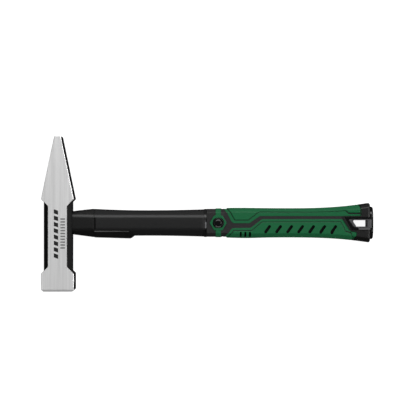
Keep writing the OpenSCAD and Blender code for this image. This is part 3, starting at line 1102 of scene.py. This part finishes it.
def slant_ledge(layer):
    """Cuts the ledge along the guard's upper line to a slant on both sides, which catches the light."""
    line = [v.co for v in layer.data.vertices if abs(v.co.y / MM - GUARD_LINE) < 0.01]
    skin = min(abs(co.z / MM - AXIS_Z) for co in line)
    for sign in (1, -1):
        edit(layer)
        slice_at(
            (0, GUARD_LINE, AXIS_Z + sign * (skin - LEDGE_HEIGHT)),
            (0, math.sin(LEDGE_TILT), sign * math.cos(LEDGE_TILT)), clear_outer=True, use_fill=True,
        )
        face_outwards()
        done()


def make_guard():
    """Two layers: a low one with a slanted nose, and a high one that stops a little before it."""
    layers = []
    nose_x, nose_y = GUARD_END, GUARD_LINE - NOSE_DROP
    for name, height, back in GUARD_LAYERS:
        layer = bar(name, evenly(COLLAR_END - GUARD_TUCK, GUARD_END + 2, 10, height), guard_section)
        x, y = nose_x - back, nose_y - NOSE_LEAN * back
        shape = [
            (COLLAR_END, GUARD_LINE),
            (x - (y - GUARD_LINE) / (nose_y - GUARD_LINE) * NOSE_LENGTH, GUARD_LINE),
            (x, y), (x - NOSE_SLOPE * (y - GUARD_FLOOR), GUARD_FLOOR), (COLLAR_END, GUARD_FLOOR),
        ]
        combine(layer, through_plate("guard_shape", shape), "INTERSECT")
        slant_ledge(layer)
        round_edges(layer, size_mm("guard_edge"), 2, RIM)
        layers.append(layer)
    guard = join(*layers)
    smooth(guard, FACET)
    return guard


HALF_WAIST, HALF_CHEEK = 9.8, 6.5
SHOULDER_Y = 16.7
BLOCK_LENGTH = 12.6
BLOCK_TOP = FACE_Y + BLOCK_LENGTH
HALF_PEEN_EDGE = 2.3
CHEEK_LAYER = 0.7
RELIEF_AREA = 40  # square millimetres; only the painted reliefs beside the cheeks are larger
EYE_HEIGHT, EYE_WIDTH, EYE_REACH = 15.5, 10.5, 20


def face_rim(edge):
    return all(abs(v.co.y - FACE_Y * MM) < 1e-6 for v in edge.verts)


def cheek_rim(edge):
    """The long edges between a cheek and the upright sides of the peen, the shoulders and the block."""
    middle = (edge.verts[0].co + edge.verts[1].co) / 2
    upright = any(abs(f.normal.z) < 0.1 and f.normal.y > -0.9 for f in edge.link_faces)
    cheek = any(abs(f.normal.z) > 0.99 for f in edge.link_faces)
    return upright and cheek and abs(middle.x) > HALF_PEEN_EDGE * MM


def waist_room(side):
    """What is cut from one side of the head: the waist, and the slanted reliefs up to both cheeks."""
    relief, far = HALF_WAIST - HALF_CHEEK, 2 * HALF_FACE
    profile = [
        (HALF_CHEEK - 1, AXIS_Z + 1), (far, AXIS_Z + 1),
        (far, -AXIS_Z - 1), (HALF_CHEEK - 1, -AXIS_Z - 1),
        (HALF_WAIST, relief - AXIS_Z), (HALF_WAIST, AXIS_Z - relief),
    ]
    room = outline_plate("waist_room", [(side * x, v) for x, v in profile], -CUT_THROUGH, CUT_THROUGH)
    edit_all(room)
    bpy.ops.transform.rotate(value=math.radians(90), orient_axis="X", center_override=(0, 0, 0))
    bpy.ops.transform.translate(value=(0, 0, AXIS_Z * MM))
    slice_at((side * HALF_FACE, SHOULDER_Y, 0), (-side, 1, 0), clear_outer=True, use_fill=True)
    slice_at((side * HALF_FACE, BLOCK_TOP, 0), (side, 1, 0), clear_inner=True, use_fill=True)
    face_outwards()
    done()
    return room


def make_head():
    right = [(HALF_FACE, FACE_Y), (HALF_FACE, SHOULDER_Y), (HALF_PEEN_EDGE, PEEN_Y)]
    outline = right + [(-x, y) for x, y in reversed(right)]
    head = outline_plate("hammer_head_forging", outline, HEAD_LOW[2], HEAD_HIGH[2])
    for side in (1, -1):
        cut(head, waist_room(side))
    bevel_edges(head, face_rim, size_mm("face_bevel"), 1, offset_type="WIDTH")
    clear_selection()
    eye = outline_plate("eye", stadium(0, 0, EYE_HEIGHT, EYE_WIDTH, UPRIGHT, 16), -EYE_REACH, EYE_REACH)
    edit_all(eye)
    bpy.ops.transform.rotate(value=math.radians(90), orient_axis="Y", center_override=(0, 0, 0))
    bpy.ops.transform.translate(value=(0, 0, AXIS_Z * MM))
    face_outwards()
    done()
    cut(head, eye)
    bevel_edges(head, cheek_rim, size_mm("head_edge"), 2)
    round_edges(head, size_mm("relief_edge"), 2, SOFT)
    steel, paint, edge = shared(brushed_steel), shared(black_paint), shared(ground_edge)
    head.data.materials.clear()
    give(head, paint, steel, edge)
    for face in head.data.polygons:
        outermost = abs(face.center.z / MM - AXIS_Z) > AXIS_Z - CHEEK_LAYER and abs(face.normal.z) > 0.5
        cheek = outermost and (abs(face.normal.z) > 0.9 or face.area < RELIEF_AREA * MM * MM)
        ground_face = face.normal.y < -0.5 and face.center.y < (FACE_Y + size_mm("face_bevel") + 0.5) * MM
        ground_peen = face.normal.y > 0.5 and face.center.y > (PEEN_Y - 1) * MM
        face.material_index = int(cheek or ground_face or ground_peen)
        # Cheek bevels that face right get the brighter edge steel, a painted highlight.
        if cheek and face.normal.x > 0.2 and abs(face.normal.z) < 0.99:
            face.material_index = 2
    smooth(head, FACET)
    finish_piece(head, None, ["hammer_head"])


def dress_core():
    for name, maker in (("eye_resin", poured_resin), ("core_rod", glass_fibre)):
        obj = bpy.data.objects[name]
        obj.data.materials.clear()
        give(obj, shared(maker))


# --- Studio ---

CAMERA_PLACE = (0.1054, 0.01045, 1.393)
CAMERA_LENS = 169.4
CAMERA_CLIP = (0.05, 20)

# The lights that face the hammer's middle, and one that faces its head: name, place, size and watts.
LIGHTS = (
    ("key", (0.1, 0.95, 0.75), (1.6, 0.7), 11),
    ("overhead", (0.1, 0.75, 1.35), (1.4, 0.5), 5),
    ("front", (0.1, -0.9, 1.1), (1.4, 0.5), 7),
    ("rim", (1.2, 0.1, 0.22), (0.5, 0.3), 0.8),
)
HEAD_LIGHT = ("corner", (1.0, 0.12, 1.0), (1.0, 0.4), 9)
FLOOR_SIZE, FLOOR_SHADE, FLOOR_GLOW = 6, 0.3, 1.03
BACKDROP_LIGHT, BACKDROP_MIRRORED = 0.12, 0.03


def area_light(aim, name, place, size, watts):
    clear_selection()
    bpy.ops.object.light_add(type="AREA", location=place)
    lamp = bpy.context.object
    lamp.name = name
    lamp.data.shape = "RECTANGLE"
    lamp.data.size, lamp.data.size_y = size
    lamp.data.energy = watts
    lamp.rotation_euler = (Vector(aim) - Vector(place)).to_track_quat("-Z", "Y").to_euler()
    lamp.visible_camera = False


def pale_floor(colours):
    """A floor that is a little bright by itself, so that shadows on it stay soft and faint."""
    r = Recipe("pale_floor", scaled(tuple(colours.floor), FLOOR_SHADE), 0.9, Specular_IOR_Level=0.0)
    r.shader.inputs["Emission Color"].default_value = (*colours.floor, 1)
    r.shader.inputs["Emission Strength"].default_value = FLOOR_GLOW
    return r.material


def make_stage():
    clear_selection()
    bpy.ops.object.camera_add(location=CAMERA_PLACE, rotation=(0, 0, 0))
    camera = bpy.context.object
    camera.data.lens = CAMERA_LENS
    camera.data.clip_start, camera.data.clip_end = CAMERA_CLIP
    bpy.context.scene.camera = camera
    middle = (CAMERA_PLACE[0], 0, 0)
    for light in LIGHTS:
        area_light(middle, *light)
    area_light((0, 0, 0), *HEAD_LIGHT)
    bpy.data.objects["front"].visible_glossy = False
    clear_selection()
    bpy.ops.mesh.primitive_plane_add(size=FLOOR_SIZE, location=middle)
    floor = new_primitive("floor")
    give(floor, pale_floor(colours()))
    # The floor isn't mirrored in the black parts, as if dark cards stood between them.
    floor.visible_glossy = False
    world = bpy.data.worlds.new("studio")
    bpy.context.scene.world = world
    world.use_nodes = True
    backdrop = world.node_tree.nodes["Background"]
    backdrop.inputs["Color"].default_value = (1, 1, 1, 1)
    # Mirrored in the hammer, the backdrop is weaker than as a light, so that black edges stay black.
    mirrored = world.node_tree.nodes.new("ShaderNodeLightPath").outputs["Is Glossy Ray"]
    strength = world.node_tree.nodes.new("ShaderNodeMath")
    strength.operation = "MULTIPLY_ADD"
    world.node_tree.links.new(mirrored, strength.inputs[0])
    strength.inputs[1].default_value = BACKDROP_MIRRORED - BACKDROP_LIGHT
    strength.inputs[2].default_value = BACKDROP_LIGHT
    world.node_tree.links.new(strength.outputs[0], backdrop.inputs["Strength"])
    bpy.context.scene.view_settings.view_transform = "Standard"


# --- Operators, panel and main ---


class HammerStage(bpy.types.Operator):
    """Adds the camera, the lights and the floor"""

    bl_idname = "hammer.stage"
    bl_label = "Studio"

    def execute(self, context):
        make_stage()
        return {"FINISHED"}


class HammerHead(bpy.types.Operator):
    """Adds the forged head with its ground cheeks and painted waist"""

    bl_idname = "hammer.head"
    bl_label = "Head"

    def execute(self, context):
        make_head()
        return {"FINISHED"}


class HammerCore(bpy.types.Operator):
    """Gives the cast resin and the core rod their finishes"""

    bl_idname = "hammer.core"
    bl_label = "Eye and core"

    def execute(self, context):
        dress_core()
        return {"FINISHED"}


class HammerCollar(bpy.types.Operator):
    """Adds the shock collar and the overstrike guard"""

    bl_idname = "hammer.collar"
    bl_label = "Collar and guard"

    def execute(self, context):
        make_collar()
        return {"FINISHED"}


class HammerNeck(bpy.types.Operator):
    """Adds the neck and its stop ring"""

    bl_idname = "hammer.neck"
    bl_label = "Neck and ring"

    def execute(self, context):
        make_neck()
        make_stop_ring()
        return {"FINISHED"}


class HammerGrip(bpy.types.Operator):
    """Adds the grip's black base and its green pads"""

    bl_idname = "hammer.grip"
    bl_label = "Grip"

    def execute(self, context):
        make_grip_base()
        make_pads()
        return {"FINISHED"}


class HammerBand(bpy.types.Operator):
    """Adds the hexagon band and its two medallions"""

    bl_idname = "hammer.band"
    bl_label = "Band and medallions"

    def execute(self, context):
        make_band()
        make_medallions()
        return {"FINISHED"}


class HammerButt(bpy.types.Operator):
    """Adds the end plug and the hanging eye's liner"""

    bl_idname = "hammer.butt"
    bl_label = "End plug and liner"

    def execute(self, context):
        make_end_plug()
        make_eye_liner()
        return {"FINISHED"}


OPERATORS = [
    HammerStage, HammerHead, HammerCore, HammerCollar, HammerNeck, HammerGrip, HammerBand, HammerButt,
]


class HammerPanel(bpy.types.Panel):
    """Lists the hammer's pieces and settings"""

    bl_idname = "VIEW3D_PT_hammer"
    bl_label = "Cross peen hammer"
    bl_space_type = "VIEW_3D"
    bl_region_type = "UI"
    bl_category = "Hammer"

    def draw(self, context):
        for operator in OPERATORS:
            self.layout.operator(operator.bl_idname)
        for settings in (context.scene.hammer_sizes, context.scene.hammer_colours):
            for key in settings.__annotations__:
                self.layout.prop(settings, key)


CLASSES = [HammerColours, HammerSizes, *OPERATORS, HammerPanel]


def register():
    for cls in CLASSES:
        bpy.utils.register_class(cls)
    bpy.types.Scene.hammer_colours = bpy.props.PointerProperty(type=HammerColours)
    bpy.types.Scene.hammer_sizes = bpy.props.PointerProperty(type=HammerSizes)


def unregister():
    del bpy.types.Scene.hammer_colours
    del bpy.types.Scene.hammer_sizes
    for cls in reversed(CLASSES):
        bpy.utils.unregister_class(cls)


def main():
    register()
    for operator in OPERATORS:
        group, name = operator.bl_idname.split(".")
        getattr(getattr(bpy.ops, group), name)()
    clear_selection()


if __name__ == "__main__":
    main()
